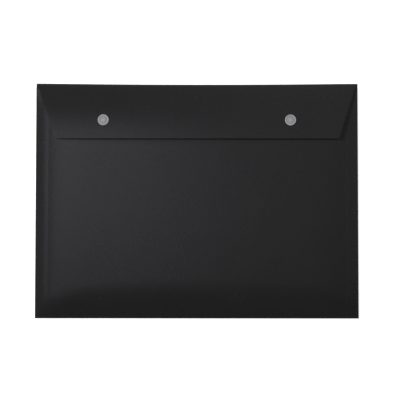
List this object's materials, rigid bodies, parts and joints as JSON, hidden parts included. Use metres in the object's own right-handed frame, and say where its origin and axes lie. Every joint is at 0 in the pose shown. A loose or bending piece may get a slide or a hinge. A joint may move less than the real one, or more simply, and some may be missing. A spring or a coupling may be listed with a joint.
{
  "type": "document wallet",
  "caption": "Landscape polypropylene document wallet: a bulged pocket with a fold-over front flap on a living hinge, closed by round press-studs.",
  "frame": {"origin": "centre of the wallet's plan, on the outer face of the back panel", "axes": "+X across the wallet, +Y up to the flap's fold, +Z out of the front; the wallet lies on its back"},
  "size_m": [0.332, 0.2406, 0.0138],
  "materials": {
    "wallet_sheet": "satin black polypropylene sheet with a fine grain",
    "stud_plastic": "mid-grey moulded plastic, satin"
  },
  "bodies": {
    "pocket": {"back_panel": "wallet_sheet", "bottom_fold": "wallet_sheet", "front_panel": "wallet_sheet", "left_side_fold": "wallet_sheet", "right_side_fold": "wallet_sheet", "left_side_tab": "wallet_sheet", "right_side_tab": "wallet_sheet", "flap_crease": "wallet_sheet", "left_stud_ball": "stud_plastic", "right_stud_ball": "stud_plastic", "left_stud_back": "stud_plastic", "right_stud_back": "stud_plastic"},
    "flap": {"flap": "wallet_sheet", "left_stud_cap": "stud_plastic", "right_stud_cap": "stud_plastic", "left_stud_socket": "stud_plastic", "right_stud_socket": "stud_plastic"}
  },
  "joints": [
    {"name": "flap_hinge", "type": "hinge", "parent": "pocket", "child": "flap", "pos_m": [0, 0.11835, 0.002], "axis": [-1, 0, 0], "range_deg": [0, 163], "deforming": ["flap_crease"]}
  ]
}
